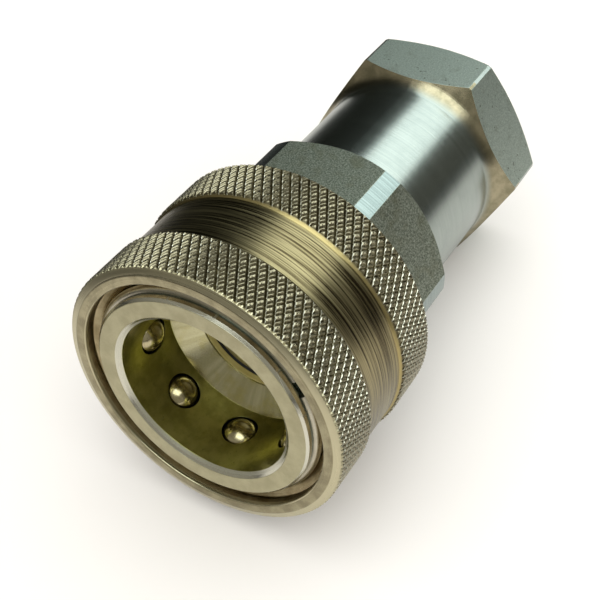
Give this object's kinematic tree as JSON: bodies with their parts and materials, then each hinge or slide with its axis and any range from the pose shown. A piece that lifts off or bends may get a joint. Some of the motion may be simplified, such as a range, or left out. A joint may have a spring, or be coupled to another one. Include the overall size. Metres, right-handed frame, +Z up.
{
  "type": "quick disconnect coupler",
  "caption": "Female hydraulic quick coupler: knurled spring sleeve that locks a plug with a ring of balls, a shut-off valve inside, a hexagon body and a pipe-thread adapter.",
  "frame": {"origin": "centre of the mouth, on the centre line, level with the front faces of nose and sleeve", "axes": "+X runs back along the centre line to the pipe port, +Z is up, out of one flat of each hexagon"},
  "size_m": [0.0914, 0.054, 0.054],
  "materials": {
    "body_steel": "zinc plated and passivated, satin, machined",
    "adapter_steel": "zinc plated and passivated, turned neck, drawn flats",
    "sleeve_steel": "zinc plated and passivated, knurled",
    "ring_wire": "hard drawn wire",
    "spring_wire": "spring steel",
    "seal_plastic": "yellow sealing plastic",
    "black_rubber": "matt nitrile",
    "valve_steel": "turned and plated",
    "guide_steel": "machined",
    "ball_steel": "polished bearing steel"
  },
  "bodies": {
    "body": {"valve_body": "body_steel", "end_adapter": "adapter_steel", "body_o_ring": "black_rubber", "valve_guide": "guide_steel", "sleeve_retaining_ring": "ring_wire", "socket_backup_ring": "seal_plastic", "socket_o_ring": "black_rubber"},
    "sleeve_carrier": {"sleeve_spring": "spring_wire"},
    "sleeve": {"locking_sleeve": "sleeve_steel"},
    "valve": {"poppet": "valve_steel", "poppet_o_ring": "black_rubber", "poppet_spring": "spring_wire"},
    "ball_1": {"ball_1": "ball_steel"},
    "ball_2": {"ball_2": "ball_steel"},
    "ball_3": {"ball_3": "ball_steel"},
    "ball_4": {"ball_4": "ball_steel"},
    "ball_5": {"ball_5": "ball_steel"},
    "ball_6": {"ball_6": "ball_steel"},
    "ball_7": {"ball_7": "ball_steel"},
    "ball_8": {"ball_8": "ball_steel"}
  },
  "joints": [
    {"name": "sleeve_slide", "type": "slide", "parent": "body", "child": "sleeve_carrier", "axis": [1, 0, 0], "range_m": [0, 0.0027], "stiffness_N_per_m": 4000, "springref_m": -0.008, "deforming": ["sleeve_spring"]},
    {"name": "sleeve_turn", "type": "hinge", "parent": "sleeve_carrier", "child": "sleeve", "pos_m": [0, 0, 0], "axis": [1, 0, 0], "continuous": true},
    {"name": "poppet_slide", "type": "slide", "parent": "body", "child": "valve", "axis": [1, 0, 0], "range_m": [0, 0.004], "stiffness_N_per_m": 2500, "springref_m": -0.008, "deforming": ["poppet_spring"]},
    {"name": "ball_1_release", "type": "slide", "parent": "body", "child": "ball_1", "axis": [0, 0.0489, 0.9988], "range_m": [0, 0.0015]},
    {"name": "ball_2_release", "type": "slide", "parent": "body", "child": "ball_2", "axis": [0, 0.7408, 0.6717], "range_m": [0, 0.0015]},
    {"name": "ball_3_release", "type": "slide", "parent": "body", "child": "ball_3", "axis": [0, 0.9988, -0.0489], "range_m": [0, 0.0015]},
    {"name": "ball_4_release", "type": "slide", "parent": "body", "child": "ball_4", "axis": [0, 0.6717, -0.7408], "range_m": [0, 0.0015]},
    {"name": "ball_5_release", "type": "slide", "parent": "body", "child": "ball_5", "axis": [0, -0.0489, -0.9988], "range_m": [0, 0.0015]},
    {"name": "ball_6_release", "type": "slide", "parent": "body", "child": "ball_6", "axis": [0, -0.7408, -0.6717], "range_m": [0, 0.0015]},
    {"name": "ball_7_release", "type": "slide", "parent": "body", "child": "ball_7", "axis": [0, -0.9988, 0.0489], "range_m": [0, 0.0015]},
    {"name": "ball_8_release", "type": "slide", "parent": "body", "child": "ball_8", "axis": [0, -0.6717, 0.7408], "range_m": [0, 0.0015]}
  ],
  "couplings": [
    {"joint": "ball_1_release", "follows": "sleeve_slide", "ratio": 0.5555},
    {"joint": "ball_2_release", "follows": "sleeve_slide", "ratio": 0.5555},
    {"joint": "ball_3_release", "follows": "sleeve_slide", "ratio": 0.5555},
    {"joint": "ball_4_release", "follows": "sleeve_slide", "ratio": 0.5555},
    {"joint": "ball_5_release", "follows": "sleeve_slide", "ratio": 0.5555},
    {"joint": "ball_6_release", "follows": "sleeve_slide", "ratio": 0.5555},
    {"joint": "ball_7_release", "follows": "sleeve_slide", "ratio": 0.5555},
    {"joint": "ball_8_release", "follows": "sleeve_slide", "ratio": 0.5555}
  ]
}
